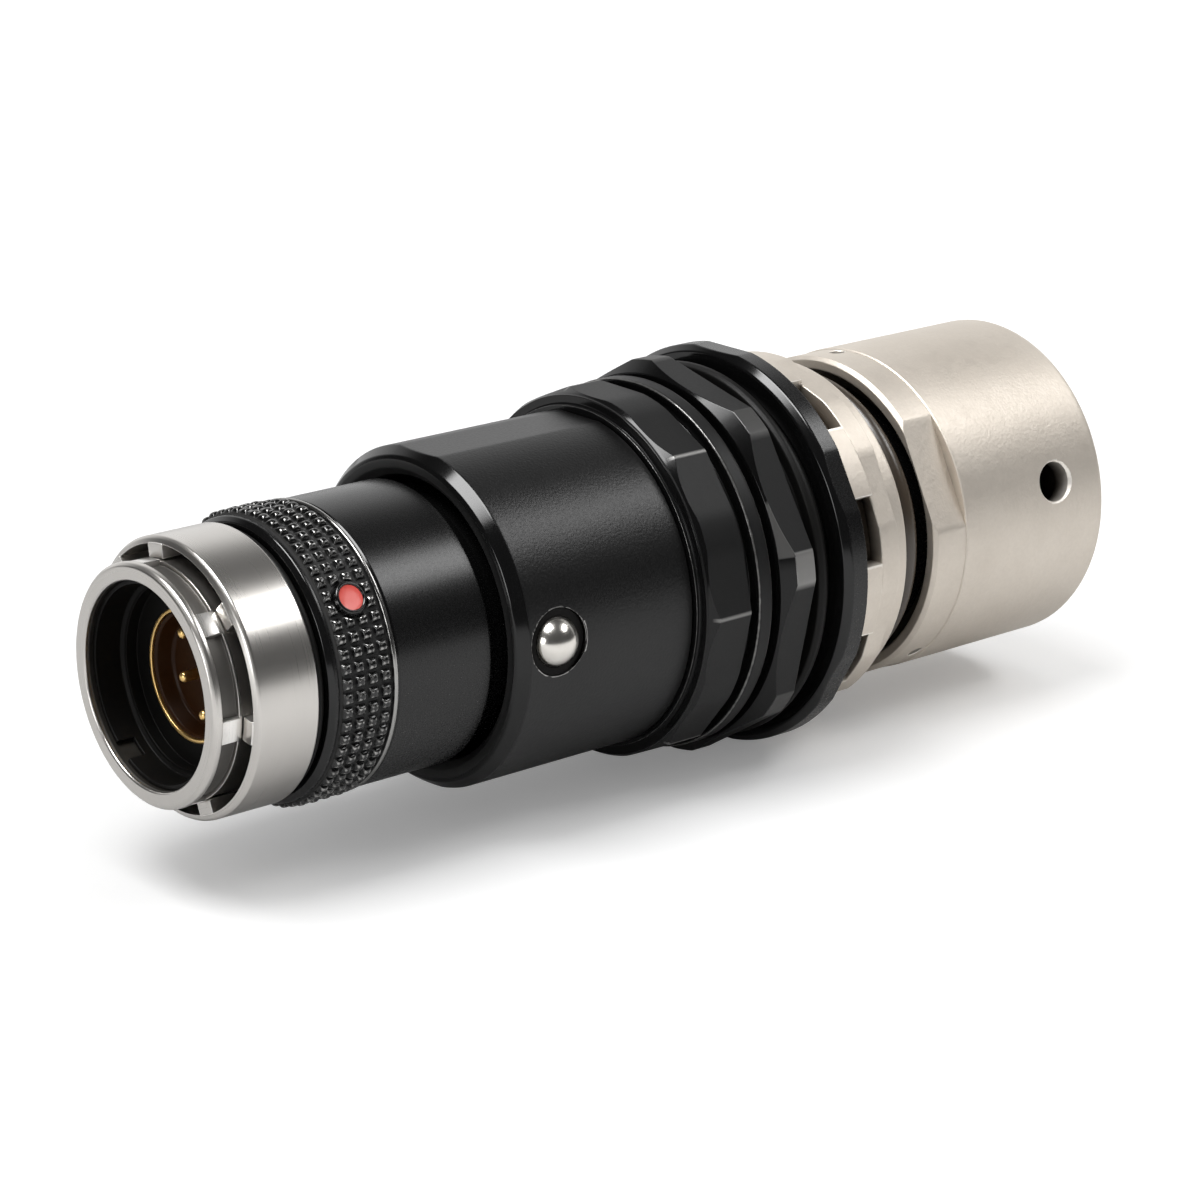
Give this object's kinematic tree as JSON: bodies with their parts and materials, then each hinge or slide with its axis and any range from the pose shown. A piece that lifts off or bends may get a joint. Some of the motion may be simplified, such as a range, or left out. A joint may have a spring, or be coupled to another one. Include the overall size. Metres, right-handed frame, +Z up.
{
  "type": "push-pull circular connector",
  "caption": "In-line push-pull circular plug with a nickel nose, a sliding ribbed release grip, black lock nuts, a slotted nickel nut and a nickel backshell.",
  "frame": {"origin": "centre of the mating face, on the connector's axis", "axes": "+X runs along the axis from the mating face to the cable end, +Z is up as it lies on its largest ring, and the coral dot is on the -Y side"},
  "size_m": [0.0805, 0.0304, 0.03],
  "materials": {
    "satin_nickel": "turned satin nickel",
    "blasted_nickel": "bead-blasted nickel",
    "black_anodised": "satin black anodised",
    "black_rubber": "moulded",
    "black_plastic": "moulded",
    "polished_steel": "polished",
    "gilt": "gold plated",
    "amber_insulator": "moulded",
    "coral_enamel": "enamel"
  },
  "bodies": {
    "housing": {"plug_shell": "satin_nickel", "lock_collar": "satin_nickel", "castle_nut": "blasted_nickel", "lock_ring": "blasted_nickel", "clamp_collar": "blasted_nickel", "backshell": "blasted_nickel", "cable_clamp": "blasted_nickel", "outer_sleeve": "black_anodised", "ball_bush": "black_plastic", "front_nut": "black_anodised", "thrust_washer": "black_anodised", "rear_nut": "black_anodised", "flange_ring": "black_anodised", "front_seal": "black_rubber", "neck_seal": "black_rubber", "panel_gasket": "black_rubber", "cable_grommet": "black_rubber", "return_spring": "polished_steel", "core_tube": "black_anodised", "insert_retainer": "satin_nickel", "insert_liner": "black_plastic", "shield_ring": "gilt", "contact_pins": "gilt", "contact_carrier": "amber_insulator", "rear_insulator": "amber_insulator"},
    "release": {"step_ring": "black_anodised", "grip_ring": "black_anodised", "index_dot": "coral_enamel", "release_sleeve": "black_anodised"},
    "ball": {"detent_ball": "polished_steel"}
  },
  "joints": [
    {"name": "sleeve_slide", "type": "slide", "parent": "housing", "child": "release", "axis": [1, 0, 0], "range_m": [0, 0.0025], "stiffness_N_per_m": 1200, "springref_m": -0.002, "deforming": ["return_spring"]},
    {"name": "ball_slide", "type": "slide", "parent": "housing", "child": "ball", "axis": [0, 0.9982, -0.0593], "range_m": [0, 0.0005]}
  ],
  "couplings": [
    {"joint": "ball_slide", "follows": "sleeve_slide", "ratio": 0.2}
  ]
}
